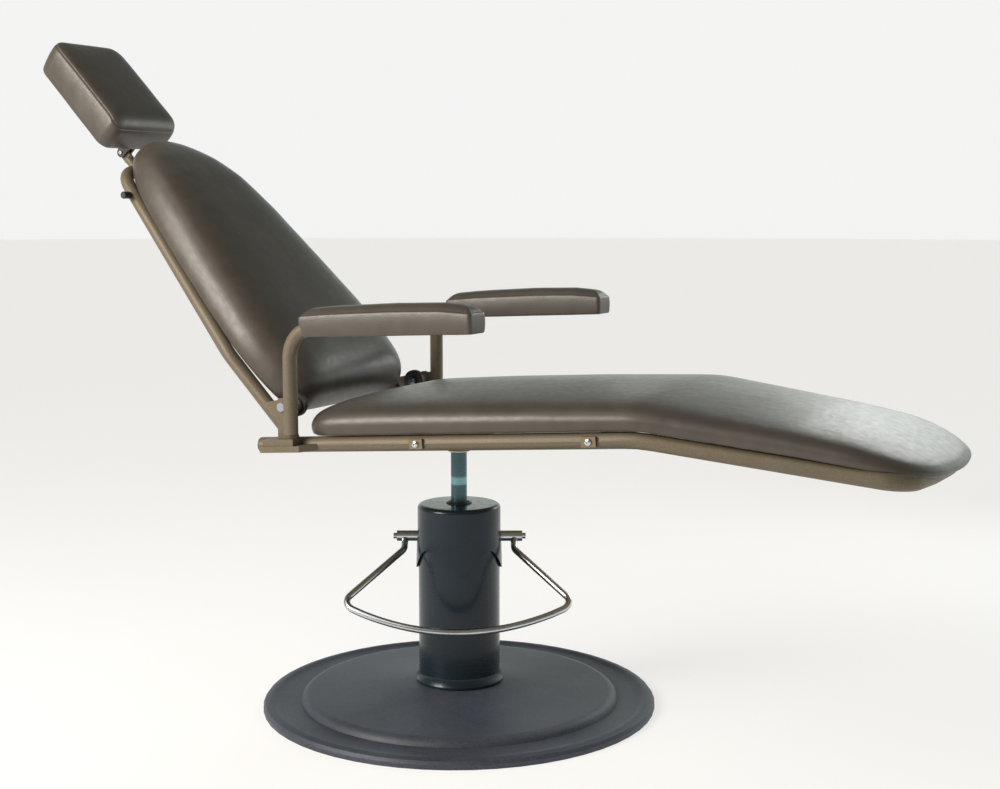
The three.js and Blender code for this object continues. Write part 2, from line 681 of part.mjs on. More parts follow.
// The tube's run lies in a groove in the pad's underside.
function armGroove() {
  const width = POST_R + 0.6;
  const top = ARM_BOTTOM + 16 + POST_R + 0.6;
  return skewed(box(-260, 108, -width, width, ARM_BOTTOM - 30, top));
}

function armBoardBlock(grow) {
  const low = ARM_BOTTOM + 16 + POST_R + 0.6;
  const half = ARM_WIDTH / 2 - 7 + grow;
  return skewed(box(-140 - grow, 168 + grow, -half, half, low - grow, low + 9 + grow));
}

// A solid drawn level about the arm's centre line, moved out to it and tilted with it.
function skewed(geometry) {
  const position = geometry.attributes.position;
  for (let i = 0; i < position.count; i += 1) {
    position.setZ(i, armLine(position.getZ(i), position.getX(i)));
    position.setY(i, position.getY(i) - POST_Y);
  }
  return solid(geometry);
}

// Bolt head outside the bracket, shank through ear and disc to the nut.
function pivotBolt() {
  const head = barY(8, -257.5, -252.3, PIVOT.x, PIVOT.z, 20);
  const shank = barY(5, -256, -EAR_INSIDE + 22, PIVOT.x, PIVOT.z, 16);
  return solid(head).add(solid(shank));
}

function pivotNut() {
  const nut = barY(9.2, -EAR_INSIDE + 9.3, -EAR_INSIDE + 17.8, PIVOT.x, PIVOT.z, 6);
  return solid(nut).subtract(solid(barY(5.2, -260, -180, PIVOT.x, PIVOT.z, 16)));
}

const mirrorY = (shape) => (shape.isBufferGeometry ? solid(shape) : shape).mirror([0, 1, 0]);

function addPair(parent, name, build, look) {
  add(parent, `${name}_right`, build(), look());
  add(parent, `${name}_left`, mirrorY(build()), look());
}

addPair(chair, 'arm_bracket', armBracket, PAINT);
addPair(chair, 'arm_post', armPost, PAINT);
addPair(chair, 'arm_board', () => armBoardBlock(0), PLYWOOD);
addPair(chair, 'arm_pad', armPad, VINYL);
addPair(chair, 'pivot_bolt', pivotBolt, CHROME);
addPair(chair, 'pivot_nut', pivotNut, CHROME);

// ---- backrest: local Z runs up the back, local X points out of its face ----

const back = group(chair, { x: PIVOT.x, z: PIVOT.z, ry: RECLINE - 90 });

const backTubeY = (z) => BACK_TUBE_Y - BACK_TAPER * Math.max(z - BACK_KINK, 0);

const backStation = (z) => v3(BACK_TUBE_SET, -backTubeY(z), z);

// Stations up the right-hand back tube, each with the radius of its bend.
const BACK_RUN = [[backStation(-14), 0], [backStation(BACK_KINK), 140], [backStation(BACK_TOP), 52]];

function backFrame() {
  const left = BACK_RUN.map(([p, r]) => [v3(p.x, -p.y, p.z), r]).reverse();
  const frame = solid(tube(bend([...BACK_RUN, ...left]), BACK_TUBE_R, 2));
  return frame.subtract(solid(barY(4.3, -300, 300, BACK_TUBE_SET, LOCK_Z, 12)));
}

// The ear joins the back tube to the pivot bolt.
function backEar() {
  const ear = new THREE.Shape();
  ear.absarc(0, 0, 15, -Math.PI * 0.45, Math.PI * 0.45, false);
  ear.lineTo(BACK_TUBE_SET - 2, 48);
  ear.lineTo(BACK_TUBE_SET - 2, -16);
  const plate = new THREE.ExtrudeGeometry(ear, { depth: 6, bevelEnabled: false, curveSegments: 8 })
    .rotateX(Math.PI / 2).translate(0, -EAR_INSIDE, 0);
  const cut = tube([backStation(-60), backStation(BACK_KINK)], BACK_TUBE_R + GAP);
  const behind = box(BACK_TUBE_SET - 20, BACK_TUBE_SET + 5.5, -EAR_INSIDE - 20, -EAR_INSIDE + 20, -40, 60);
  return solid(plate).subtract(solid(cut).add(solid(behind)))
    .subtract(solid(barY(5.3, -300, -180, 0, 0)));
}

function reclineDisc() {
  return solid(barY(22, -EAR_INSIDE + GAP, -EAR_INSIDE + 9, 0, 0, 32))
    .subtract(solid(barY(5.3, -300, -180, 0, 0)));
}

const BACK_FACE = BACK_TUBE_SET + BACK_TUBE_R + GAP + 0.2;

// Front view outline of the backrest in [y, z], wide at the hips and round at the head.
function backOutline(inset) {
  const low = 2 + inset;
  const top = BACK_PAD_TOP - inset;
  const hip = 206 - inset;
  const waist = 182 - inset;
  const shoulder = 145 - inset;
  const shape = new THREE.Shape();
  shape.moveTo(hip - 62, low);
  shape.bezierCurveTo(hip - 26, low, hip - 3, 60, hip, BACK_KINK);
  shape.quadraticCurveTo(waist, 345, shoulder, 525);
  shape.bezierCurveTo(shoulder - 11, 575, shoulder - 59, top, 0, top);
  shape.bezierCurveTo(-shoulder + 59, top, -shoulder + 11, 575, -shoulder, 525);
  shape.quadraticCurveTo(-waist, 345, -hip, BACK_KINK);
  shape.bezierCurveTo(-hip + 3, 60, -hip + 26, low, -hip + 62, low);
  return shape;
}

// Thickens the outline forwards from x0 to x1.
const frontSlab = (shape, x0, x1, curveSegments = 5) =>
  new THREE.ExtrudeGeometry(shape, { depth: x1 - x0, bevelEnabled: false, curveSegments })
    .rotateX(Math.PI / 2).rotateZ(Math.PI / 2).translate(x0, 0, 0);

// The same with its front edge rounded over.
const cushionSlab = (shape, x0, x1, round, curveSegments = 5) =>
  new THREE.ExtrudeGeometry(shape, {
    depth: x1 - x0, curveSegments, bevelThickness: round, bevelSize: round, bevelOffset: -round,
    bevelSegments: 4,
  }).rotateX(Math.PI / 2).rotateZ(Math.PI / 2).translate(x0 - round, 0, 0);

// The crown falls away to the pad's right edge and follows that edge's taper.
const CROWN_EDGE = 234;
const CROWN_TAPER = 0.17;

function backCrown() {
  const edge = -CROWN_EDGE;
  const face = BACK_FACE + BACK_PAD_T;
  const section = new THREE.Shape([
    [BACK_FACE - 9, edge], [face - 58, edge], [face - 38, edge + 9], [face - 21, edge + 27],
    [face - 9, edge + 54], [face - 2, edge + 90], [face + 1, edge + 130], [face + 1, 500],
    [BACK_FACE - 9, 500],
  ].map(([x, y]) => new THREE.Vector2(x, y)));
  return placed(new THREE.ExtrudeGeometry(section, { depth: 900, bevelEnabled: false }).translate(0, 0, -100),
    { rx: -Math.atan(CROWN_TAPER) / DEG });
}

function backPad() {
  const face = BACK_FACE + BACK_PAD_T;
  const profile = [
    [BACK_FACE, 2], [face - 46, 2], [face - 16, 18], [face - 4, 62], [face, 122], [face, 470],
    [face - 3, 550], [face - 11, 595], [face - 26, 632], [face - 48, 661], [face - 70, 677],
    [BACK_FACE, BACK_PAD_TOP],
  ];
  return solid(sideSlab(profile, -260, 260))
    .intersect(solid(frontSlab(backOutline(0), BACK_FACE, face + 1)))
    .intersect(backCrown())
    .intersect(backCrown().mirror([0, 1, 0]))
    .subtract(solid(frontSlab(backOutline(13.5), BACK_FACE - 2, BACK_FACE + BOARD_T + GAP)));
}

// Guide for the headrest bar, welded behind the top cross tube.
function headrestSocket() {
  const sleeve = disc(14.5, 540, 652, 24).translate(BAR_SET, 0, 0);
  const web = box(BAR_SET + 8, BACK_TUBE_SET + 2, -9, 9, 546, 640);
  const crossTube = barY(BACK_TUBE_R + GAP, -60, 60, BACK_TUBE_SET, BACK_TOP, 24);
  return solid(sleeve).add(solid(web)).subtract(solid(crossTube))
    .subtract(solid(disc(BAR_R + GAP, 500, 700, 24)).translate(BAR_SET, 0, 0))
    .subtract(solid(barY(4.3, -60, 60, BACK_TUBE_SET, LOCK_Z, 12)))
    .subtract(solid(box(BACK_TUBE_SET - 3, 20, -20, 20, 600, 700)));
}

const LOCK_END = 138.9;

function lockGrip(side) {
  const grip = turned([
    [4.3, 0], [5.6, 0], [7, 1.5], [7, 7], [5.8, 9], [7, 11], [7, 18.5], [5.4, 20], [0, 20], [0, 16],
    [4.3, 16],
  ], 16).rotateX(Math.PI / 2).translate(BACK_TUBE_SET, -LOCK_END, LOCK_Z);
  return side < 0 ? solid(grip) : mirrorY(grip);
}

function headrestBar() {
  const bar = disc(BAR_R, 390, 704, 24).translate(BAR_SET, 0, 0);
  const eye = solid(barY(9.5, -4, 4, BAR_SET, HINGE_Z, 20))
    .add(solid(box(BAR_SET - 9.5, BAR_SET + 9.5, -4, 4, 700, HINGE_Z)));
  return solid(bar).add(eye).subtract(solid(barY(4.3, -20, 20, BAR_SET, HINGE_Z, 12)));
}

const HEAD_BACK = -61;
const HEAD_LOW = 708;
const HEAD_HIGH = 934;

function headrestPad() {
  const face = HEAD_BACK + HEAD_T;
  const profile = [
    [HEAD_BACK, HEAD_LOW], [face - 12, HEAD_LOW + 10], [face - 2, HEAD_LOW + 22], [face + 4, HEAD_LOW + 70],
    [face + 4, HEAD_HIGH - 80], [face - 4, HEAD_HIGH - 28], [face - 20, HEAD_HIGH - 2],
    [HEAD_BACK + 10, HEAD_HIGH], [HEAD_BACK, HEAD_HIGH - 10],
  ];
  const half = HEAD_W / 2;
  const edge = 12;
  const front = new THREE.Shape();
  front.moveTo(-half + 24, HEAD_LOW);
  front.lineTo(half - 24, HEAD_LOW);
  front.quadraticCurveTo(half, HEAD_LOW, half, HEAD_LOW + 24);
  front.lineTo(half, HEAD_HIGH - 28);
  front.quadraticCurveTo(half, HEAD_HIGH, half - 28, HEAD_HIGH);
  front.lineTo(-half + 28, HEAD_HIGH);
  front.quadraticCurveTo(-half, HEAD_HIGH, -half, HEAD_HIGH - 28);
  front.lineTo(-half, HEAD_LOW + 24);
  front.quadraticCurveTo(-half, HEAD_LOW, -half + 24, HEAD_LOW);
  return solid(sideSlab(profile, -half - 1, half + 1))
    .intersect(solid(cushionSlab(front, HEAD_BACK - 20, face + 8, 12, 4)))
    .subtract(solid(box(HEAD_BACK - 1, HEAD_BACK + BOARD_T + GAP, -half + edge, half - edge,
      HEAD_LOW + edge, HEAD_HIGH - edge)));
}

function headrestBoard() {
  const half = HEAD_W / 2 - 12 - GAP;
  return box(HEAD_BACK, HEAD_BACK + BOARD_T, -half, half, HEAD_LOW + 12 + GAP, HEAD_HIGH - 12 - GAP);
}

// A plate on the headrest's board with two ears around the bar's eye.
function headrestBracket() {
  const backPlane = HEAD_BACK - GAP;
  const plate = solid(box(backPlane - 4, backPlane, -32, 32, HEAD_LOW + 14, HEAD_LOW + 96));
  const ears = [-1, 1].map((side) => {
    const [y0, y1] = side < 0 ? [-9.5, -4.5] : [4.5, 9.5];
    return solid(box(BAR_SET, backPlane, y0, y1, HINGE_Z - 10, HINGE_Z + 14))
      .add(solid(barY(10, y0, y1, BAR_SET, HINGE_Z, 20)));
  });
  return plate.add(ears[0]).add(ears[1]).subtract(solid(barY(4.3, -20, 20, BAR_SET, HINGE_Z, 12)));
}

add(back, 'back_frame', backFrame(), PAINT());
addPair(back, 'back_ear', backEar, PAINT);
addPair(back, 'recline_disc', reclineDisc, RUBBER);
add(back, 'back_board', frontSlab(backOutline(14), BACK_FACE, BACK_FACE + BOARD_T), PLYWOOD());
add(back, 'back_pad', backPad(), VINYL());
add(back, 'headrest_socket', headrestSocket(), PAINT());
add(back, 'lock_rod', barY(4, -LOCK_END - 15, LOCK_END + 15, BACK_TUBE_SET, LOCK_Z, 12), STEEL());
add(back, 'lock_grip_right', lockGrip(-1), RUBBER());
add(back, 'lock_grip_left', lockGrip(1), RUBBER());
add(back, 'headrest_bar', headrestBar(), PAINT());
add(back, 'headrest_pin', barY(4, -12, 12, BAR_SET, HINGE_Z, 12), STEEL());
add(back, 'headrest_bracket', headrestBracket(), RUBBER());
add(back, 'headrest_board', headrestBoard(), PLYWOOD());
add(back, 'headrest_pad', headrestPad(), VINYL());

export default chair;
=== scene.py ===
"""Looks for the dental chair: cushions, pedal loop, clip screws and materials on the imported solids. Metres, Z up."""
import json
import math

import bmesh
import bpy
import numpy as np
from mathutils import Matrix, Vector
from mathutils import noise as perlin


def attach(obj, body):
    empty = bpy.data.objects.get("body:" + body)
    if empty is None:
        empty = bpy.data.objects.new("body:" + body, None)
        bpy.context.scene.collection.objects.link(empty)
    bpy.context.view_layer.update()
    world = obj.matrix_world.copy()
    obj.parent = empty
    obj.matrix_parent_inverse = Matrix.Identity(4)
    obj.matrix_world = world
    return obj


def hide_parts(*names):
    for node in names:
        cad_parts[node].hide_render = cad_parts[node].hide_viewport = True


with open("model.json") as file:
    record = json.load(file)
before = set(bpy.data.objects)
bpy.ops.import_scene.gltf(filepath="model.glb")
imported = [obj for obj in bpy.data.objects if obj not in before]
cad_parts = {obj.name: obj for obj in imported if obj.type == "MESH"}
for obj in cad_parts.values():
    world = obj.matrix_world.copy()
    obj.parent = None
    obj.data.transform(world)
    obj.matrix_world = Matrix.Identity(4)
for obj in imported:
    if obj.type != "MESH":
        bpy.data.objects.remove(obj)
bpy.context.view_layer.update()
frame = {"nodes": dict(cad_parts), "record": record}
scene = bpy.context.scene

# ---- camera ----

CAMERA_PLACE = (1.3781, -2.4894, 0.9362)
CAMERA_YAW = 27.427
CAMERA_PITCH = 7.059
CAMERA_LENS = 55.74

camera_data = bpy.data.cameras.new("camera")
camera = bpy.data.objects.new("camera", camera_data)
scene.collection.objects.link(camera)
scene.camera = camera
camera_data.lens = CAMERA_LENS
camera_data.sensor_width = 36
camera_data.clip_start = 0.05
camera_data.clip_end = 60
camera.location = CAMERA_PLACE
camera.rotation_euler = (math.radians(90 - CAMERA_PITCH), 0, math.radians(CAMERA_YAW))


# ---- frames of reference, as the solids have them ----

def turned_y(origin, degrees):
    """A frame at origin whose X and Z axes are turned about Y as three.js turns them."""
    return Matrix.Translation(origin) @ Matrix.Rotation(math.radians(degrees), 4, "Y")


PIVOT = Vector((-0.218, 0, 0.577))
SEAT = turned_y((0, 0, 0.525), -4.7)
BACK = turned_y(PIVOT, -44)
WORLD = Matrix.Identity(4)
PUMP = Matrix.Rotation(math.radians(27.4), 4, "Z")

# ---- node helpers ----


def new_material(name):
    material = bpy.data.materials.new(name)
    material.use_nodes = True
    tree = material.node_tree
    tree.nodes.clear()
    output = tree.nodes.new("ShaderNodeOutputMaterial")
    shader = tree.nodes.new("ShaderNodeBsdfPrincipled")
    tree.links.new(shader.outputs[0], output.inputs["Surface"])
    return material, tree, shader


def coordinates(tree, scale=(1, 1, 1)):
    source = tree.nodes.new("ShaderNodeTexCoord")
    mapping = tree.nodes.new("ShaderNodeMapping")
    mapping.inputs["Scale"].default_value = scale
    tree.links.new(source.outputs["Object"], mapping.inputs["Vector"])
    return mapping.outputs["Vector"]


def noise(tree, vector, scale, detail=3, roughness=0.5):
    node = tree.nodes.new("ShaderNodeTexNoise")
    node.inputs["Scale"].default_value = scale
    node.inputs["Detail"].default_value = detail
    node.inputs["Roughness"].default_value = roughness
    tree.links.new(vector, node.inputs["Vector"])
    return node.outputs["Fac"]


def voronoi(tree, vector, scale, feature="F1"):
    node = tree.nodes.new("ShaderNodeTexVoronoi")
    node.feature = feature
    node.inputs["Scale"].default_value = scale
    tree.links.new(vector, node.inputs["Vector"])
    return node.outputs["Distance"]


def ramp(tree, factor, stops):
    node = tree.nodes.new("ShaderNodeValToRGB")
    elements = node.color_ramp.elements
    while len(elements) < len(stops):
        elements.new(0.5)
    for element, (position, colour) in zip(elements, stops):
        element.position = position
        element.color = (*colour, 1) if len(colour) == 3 else colour
    tree.links.new(factor, node.inputs["Fac"])
    return node.outputs["Color"]


def grey(value):
    return (value, value, value)


def math_node(tree, operation, a, b):
    node = tree.nodes.new("ShaderNodeMath")
    node.operation = operation
    for socket, value in zip(node.inputs, (a, b)):
        if isinstance(value, (int, float)):
            socket.default_value = value
        else:
            tree.links.new(value, socket)
    return node.outputs[0]


def bump(tree, shader, height, distance, strength=1.0, below=None):
    node = tree.nodes.new("ShaderNodeBump")
    node.inputs["Strength"].default_value = strength
    node.inputs["Distance"].default_value = distance
    tree.links.new(height, node.inputs["Height"])
    if below is not None:
        tree.links.new(below, node.inputs["Normal"])
    tree.links.new(node.outputs["Normal"], shader.inputs["Normal"])
    return node.outputs["Normal"]


# ---- materials ----


def vinyl(name, dark, light, rough=(0.33, 0.43)):
    """Upholstery vinyl: a fine pebbled grain over slow unevenness of the foam."""
    material, tree, shader = new_material(name)
    vector = coordinates(tree)
    cells = voronoi(tree, vector, 620, "SMOOTH_F1")
    creases = noise(tree, vector, 1500, 2)
    slow = noise(tree, vector, 7, 3, 0.6)
    tint = noise(tree, vector, 28, 4, 0.6)
    colour = ramp(tree, tint, [(0.3, dark), (0.7, light)])
    tree.links.new(colour, shader.inputs["Base Color"])
    tree.links.new(ramp(tree, noise(tree, vector, 90, 4), [(0.3, grey(rough[0])), (0.75, grey(rough[1]))]),
                   shader.inputs["Roughness"])
    first = bump(tree, shader, slow, 0.004, 0.5)
    height = math_node(tree, "ADD", math_node(tree, "MULTIPLY", cells, 0.8),
                       math_node(tree, "MULTIPLY", creases, 0.25))
    bump(tree, shader, height, 0.0003, 0.55, first)
    shader.inputs["Specular IOR Level"].default_value = 0.5
    shader.inputs["Sheen Weight"].default_value = 0.08
    shader.inputs["Sheen Roughness"].default_value = 0.4
    return material


def hammertone(name, dark, light):
    """Bronze stove enamel with the small dimples and flecks of a hammered finish."""
    material, tree, shader = new_material(name)
    vector = coordinates(tree)
    dimples = voronoi(tree, vector, 620, "SMOOTH_F1")
    flecks = noise(tree, vector, 1700, 3, 0.7)
    cloud = noise(tree, vector, 14, 3)
    mix = math_node(tree, "ADD", math_node(tree, "MULTIPLY", dimples, 0.45),
                    math_node(tree, "ADD", math_node(tree, "MULTIPLY", flecks, 0.45),
                              math_node(tree, "MULTIPLY", cloud, 0.2)))
    tree.links.new(ramp(tree, mix, [(0.3, dark), (0.7, light)]), shader.inputs["Base Color"])
    tree.links.new(ramp(tree, flecks, [(0.3, grey(0.42)), (0.7, grey(0.58))]), shader.inputs["Roughness"])
    shader.inputs["Metallic"].default_value = 0.15
    shader.inputs["Specular IOR Level"].default_value = 0.4
    bump(tree, shader, dimples, 0.0003, 0.35)
    return material


def casting(name, dark, light):
    """Crackle-painted iron: matt with a fine tooth, and a little dust held in it."""
    material, tree, shader = new_material(name)
    vector = coordinates(tree)
    tooth = noise(tree, vector, 950, 4, 0.75)
    pits = voronoi(tree, vector, 420, "F1")
    dust = noise(tree, vector, 5.5, 5, 0.65)
    speck = noise(tree, vector, 260, 2, 0.5)
    mix = math_node(tree, "ADD", math_node(tree, "MULTIPLY", dust, 0.55),
                    math_node(tree, "MULTIPLY", speck, 0.45))
    tree.links.new(ramp(tree, mix, [(0.36, dark), (0.66, light)]), shader.inputs["Base Color"])
    tree.links.new(ramp(tree, tooth, [(0.25, grey(0.40)), (0.75, grey(0.62))]), shader.inputs["Roughness"])
    height = math_node(tree, "ADD", math_node(tree, "MULTIPLY", tooth, 0.7),
                       math_node(tree, "MULTIPLY", pits, 0.4))
    bump(tree, shader, height, 0.0006, 0.5)
    return material


def gloss_enamel(name, dark, light):
    """Deep gloss enamel with a trace of orange peel and a few hairline marks."""
    material, tree, shader = new_material(name)
    vector = coordinates(tree)
    peel = noise(tree, vector, 170, 2, 0.4)
    marks = noise(tree, coordinates(tree, (1, 1, 14)), 60, 4, 0.7)
    tree.links.new(ramp(tree, noise(tree, vector, 9, 4), [(0.3, dark), (0.7, light)]),
                   shader.inputs["Base Color"])
    tree.links.new(ramp(tree, marks, [(0.35, grey(0.22)), (0.75, grey(0.34))]), shader.inputs["Roughness"])
    shader.inputs["Specular IOR Level"].default_value = 0.28
    shader.inputs["Coat Weight"].default_value = 0.12
    shader.inputs["Coat Roughness"].default_value = 0.08
    bump(tree, shader, peel, 0.0004, 0.12)
    return material


def metal(name, colour, rough, stretch=(1, 1, 1), scale=300, metallic=1.0, spread=0.12):
    """Plated or turned metal, with drawn or polished marks along one direction."""
    material, tree, shader = new_material(name)
    vector = coordinates(tree, stretch)
    marks = noise(tree, vector, scale, 4, 0.7)
    cloud = noise(tree, coordinates(tree), 22, 3)
    darker = tuple(c * 0.82 for c in colour)
    tree.links.new(ramp(tree, cloud, [(0.3, darker), (0.7, colour)]), shader.inputs["Base Color"])
    tree.links.new(ramp(tree, marks, [(0.3, grey(rough)), (0.8, grey(rough + spread))]),
                   shader.inputs["Roughness"])
    shader.inputs["Metallic"].default_value = metallic
    bump(tree, shader, marks, 0.00008, 0.3)
    return material


def moulded(name, dark, light, rough=0.55):
    """Black rubber or moulded plastic with a fine spark-eroded texture."""
    material, tree, shader = new_material(name)
    vector = coordinates(tree)
    texture = noise(tree, vector, 1300, 3, 0.6)
    tree.links.new(ramp(tree, noise(tree, vector, 60, 3), [(0.3, dark), (0.75, light)]),
                   shader.inputs["Base Color"])
    tree.links.new(ramp(tree, texture, [(0.3, grey(rough - 0.1)), (0.7, grey(rough + 0.1))]),
                   shader.inputs["Roughness"])
    bump(tree, shader, texture, 0.0003, 0.4)
    return material


def plywood(name):
    """Birch ply: long grain on the faces and dark glue lines across the edge."""
    material, tree, shader = new_material(name)
    grain = noise(tree, coordinates(tree, (1, 14, 14)), 24, 5, 0.65)
    pores = noise(tree, coordinates(tree, (2, 40, 40)), 60, 3, 0.6)
    mix = math_node(tree, "ADD", math_node(tree, "MULTIPLY", grain, 0.75),
                    math_node(tree, "MULTIPLY", pores, 0.3))
    colour = ramp(tree, mix, [(0.3, (0.16, 0.10, 0.05)), (0.55, (0.36, 0.25, 0.14)), (0.8, (0.48, 0.36, 0.22))])
    tree.links.new(colour, shader.inputs["Base Color"])
    tree.links.new(ramp(tree, grain, [(0.3, grey(0.62)), (0.7, grey(0.8))]), shader.inputs["Roughness"])
    bump(tree, shader, mix, 0.0004, 0.4)
    return material


def rod_steel(name):
    """Ground piston rod: dark oiled steel with a paler band a little above the column."""
    material, tree, shader = new_material(name)
    vector = coordinates(tree, (1, 1, 60))
    rings = noise(tree, vector, 22, 4, 0.7)
    place = tree.nodes.new("ShaderNodeSeparateXYZ")
    tree.links.new(coordinates(tree), place.inputs[0])
    height = place.outputs["Z"]
    band = ramp(tree, math_node(tree, "MULTIPLY", math_node(tree, "SUBTRACT", height, 0.405), 20.0), [
        (0.0, (0.06, 0.12, 0.13)), (0.20, (0.06, 0.12, 0.13)), (0.26, (0.19, 0.37, 0.40)),
        (0.46, (0.19, 0.37, 0.40)), (0.56, (0.07, 0.13, 0.14)), (1.0, (0.06, 0.11, 0.12)),
    ])
    tree.links.new(band, shader.inputs["Base Color"])
    tree.links.new(ramp(tree, rings, [(0.3, grey(0.18)), (0.75, grey(0.32))]), shader.inputs["Roughness"])
    shader.inputs["Metallic"].default_value = 0.7
    bump(tree, shader, rings, 0.00006, 0.3)
    return material


LOOKS = {
    "vinyl": vinyl("vinyl", (0.060, 0.050, 0.039), (0.076, 0.062, 0.049)),
    "frame_paint": hammertone("frame_paint", (0.105, 0.083, 0.052), (0.180, 0.146, 0.098)),
    "base_slate": casting("base_slate", (0.026, 0.032, 0.048), (0.062, 0.072, 0.095)),
    "column_gloss": gloss_enamel("column_gloss", (0.006, 0.014, 0.021), (0.010, 0.020, 0.029)),
    "chrome": metal("chrome", (0.60, 0.64, 0.66), 0.16, (1, 1, 1), 420, 1.0, 0.12),
    "steel": metal("steel", (0.50, 0.49, 0.47), 0.28, (1, 1, 12), 300),
    "rod_steel": rod_steel("rod_steel"),
    "black_rubber": moulded("black_rubber", (0.010, 0.010, 0.010), (0.022, 0.022, 0.021), 0.6),
    "black_plastic": moulded("black_plastic", (0.008, 0.008, 0.008), (0.018, 0.018, 0.018), 0.42),
    "black_metal": moulded("black_metal", (0.012, 0.012, 0.013), (0.03, 0.03, 0.03), 0.38),
    "plywood": plywood("plywood"),
}
CLIP_STEEL = metal("clip_steel", (0.26, 0.20, 0.13), 0.34, (1, 1, 1), 420, 1.0, 0.16)

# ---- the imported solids: smoother shading and better materials ----

NODE_SLOT = {part["node"]: part["material_slot"] for part in frame["record"]["subparts"]}
CREASE = math.radians(31)


def smooth_normals(mesh, crease=CREASE):
    """Shades each face corner with the area-weighted mean of the faces round it within the crease angle."""
    count = len(mesh.vertices)
    points = np.empty(count * 3, np.float32)
    mesh.vertices.foreach_get("co", points)
    keys = np.round(points.reshape(-1, 3) * 2e5).astype(np.int64)
    _, place = np.unique(keys, axis=0, return_inverse=True)
    place = place.reshape(-1)
    loop_vertex = np.empty(len(mesh.loops), np.int32)
    mesh.loops.foreach_get("vertex_index", loop_vertex)
    face_normal = np.empty(len(mesh.polygons) * 3, np.float32)
    mesh.polygons.foreach_get("normal", face_normal)
    face_normal = face_normal.reshape(-1, 3)
    areas = np.empty(len(mesh.polygons), np.float32)
    mesh.polygons.foreach_get("area", areas)
    starts = [p.loop_start for p in mesh.polygons]
    totals = [p.loop_total for p in mesh.polygons]
    loop_face = np.repeat(np.arange(len(starts)), totals)
    site = place[loop_vertex]
    order = np.argsort(site, kind="stable")
    limit = math.cos(crease)
    result = np.zeros((len(mesh.loops), 3), np.float32)
    cuts = np.flatnonzero(np.diff(site[order])) + 1
    for loops in np.split(order, cuts):
        normals = face_normal[loop_face[loops]]
        close = (normals @ normals.T) > limit
        summed = close.astype(np.float32) @ (normals * areas[loop_face[loops]][:, None])
        result[loops] = summed
    lengths = np.linalg.norm(result, axis=1, keepdims=True)
    result = np.where(lengths > 1e-12, result / np.maximum(lengths, 1e-12), face_normal[loop_face])
    mesh.shade_smooth()
    mesh.normals_split_custom_set(result.tolist())


for node_name, node in frame["nodes"].items():
    look = CLIP_STEEL if node_name.startswith("frame_clip") else LOOKS[NODE_SLOT[node_name]]
    node.data.materials.clear()
    node.data.materials.append(look)
    smooth_normals(node.data)

# ---- making pieces ----


def make(name, points, faces, look, body, place, replaces, crease):
    """A mesh piece from points in a local frame, riding on a body."""
    mesh = bpy.data.meshes.new(name)
    mesh.from_pydata([place @ Vector(p) for p in points], [], faces)
    mesh.validate()
    build = bmesh.new()
    build.from_mesh(mesh)
    bmesh.ops.remove_doubles(build, verts=build.verts, dist=2e-6)
    bmesh.ops.recalc_face_normals(build, faces=build.faces)
    build.to_mesh(mesh)
    build.free()
    mesh.shade_smooth()
    mesh.set_sharp_from_angle(angle=math.radians(crease))
    mesh.materials.append(look)
    piece = bpy.data.objects.new(name, mesh)
    scene.collection.objects.link(piece)
    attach(piece, body)
    if replaces:
        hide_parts(*replaces)
    return piece


def turned(name, profile, look, body, place, segments):
    """A turned piece about its frame's Z axis, from [radius, height] points that start and end on the axis."""
    points, faces = [], []
    for radius, height in profile:
        for k in range(segments):
            angle = 2 * math.pi * k / segments
            points.append((radius * math.cos(angle), radius * math.sin(angle), height))
    for i in range(len(profile) - 1):
        for k in range(segments):
            a, b = i * segments + k, i * segments + (k + 1) % segments
            faces.append((a, b, b + segments, a + segments))
    return make(name, points, faces, look, body, place, (), 30)


def facing(origin, direction):
    """A frame at origin whose Z axis points along direction."""
    rotation = Vector(direction).to_track_quat("Z", "Y").to_matrix().to_4x4()
    return Matrix.Translation(origin) @ rotation


def rings_mesh(rings):
    """Points and faces of quads between successive rings. A ring drawn in to one place closes an end."""
    count = len(rings[0])
    points = [p for ring in rings for p in ring]
    faces = []
    for i in range(len(rings) - 1):
        for k in range(count):
            a, b = i * count + k, i * count + (k + 1) % count
            faces.append((a, b, b + count, a + count))
    return points, faces


def resample(points, count):
    """Evenly spaced points along a closed outline."""
    points = np.array(points, float)
    closed = np.vstack([points, points[:1]])
    steps = np.linalg.norm(np.diff(closed, axis=0), axis=1)
    along = np.concatenate([[0], np.cumsum(steps)])
    wanted = np.linspace(0, along[-1], count, endpoint=False)
    return np.stack([np.interp(wanted, along, closed[:, i]) for i in range(closed.shape[1])], 1)


def bezier(p0, p1, p2, p3, steps=16):
    t = np.linspace(0, 1, steps, endpoint=False)[:, None]
    p0, p1, p2, p3 = map(np.array, (p0, p1, p2, p3))
    return (1 - t) ** 3 * p0 + 3 * (1 - t) ** 2 * t * p1 + 3 * (1 - t) * t ** 2 * p2 + t ** 3 * p3


def cushion(outline, spine, section, thickness, lift, count):
    """Rings of a crowned pad. outline is its plan, spine gives the point each edge point closes on,
    section is [share of the way in, share of the thickness], and lift turns plan and height into space."""
    edge = resample(outline, count)
    centre = np.array([spine(p) for p in edge])
    depth = np.array([thickness(p) for p in edge])
    rings = []
    for inward, share in section:
        plan = edge + (centre - edge) * inward
        thick = np.array([thickness(p) for p in plan]) if inward > 0.03 else depth
        rings.append([lift(p, t * share) for p, t in zip(plan, thick)])
    return rings_mesh(rings)


def along_table(table):
    xs, ys = zip(*table)
    return lambda x: float(np.interp(x, xs, ys))


# ---- seat pad ----

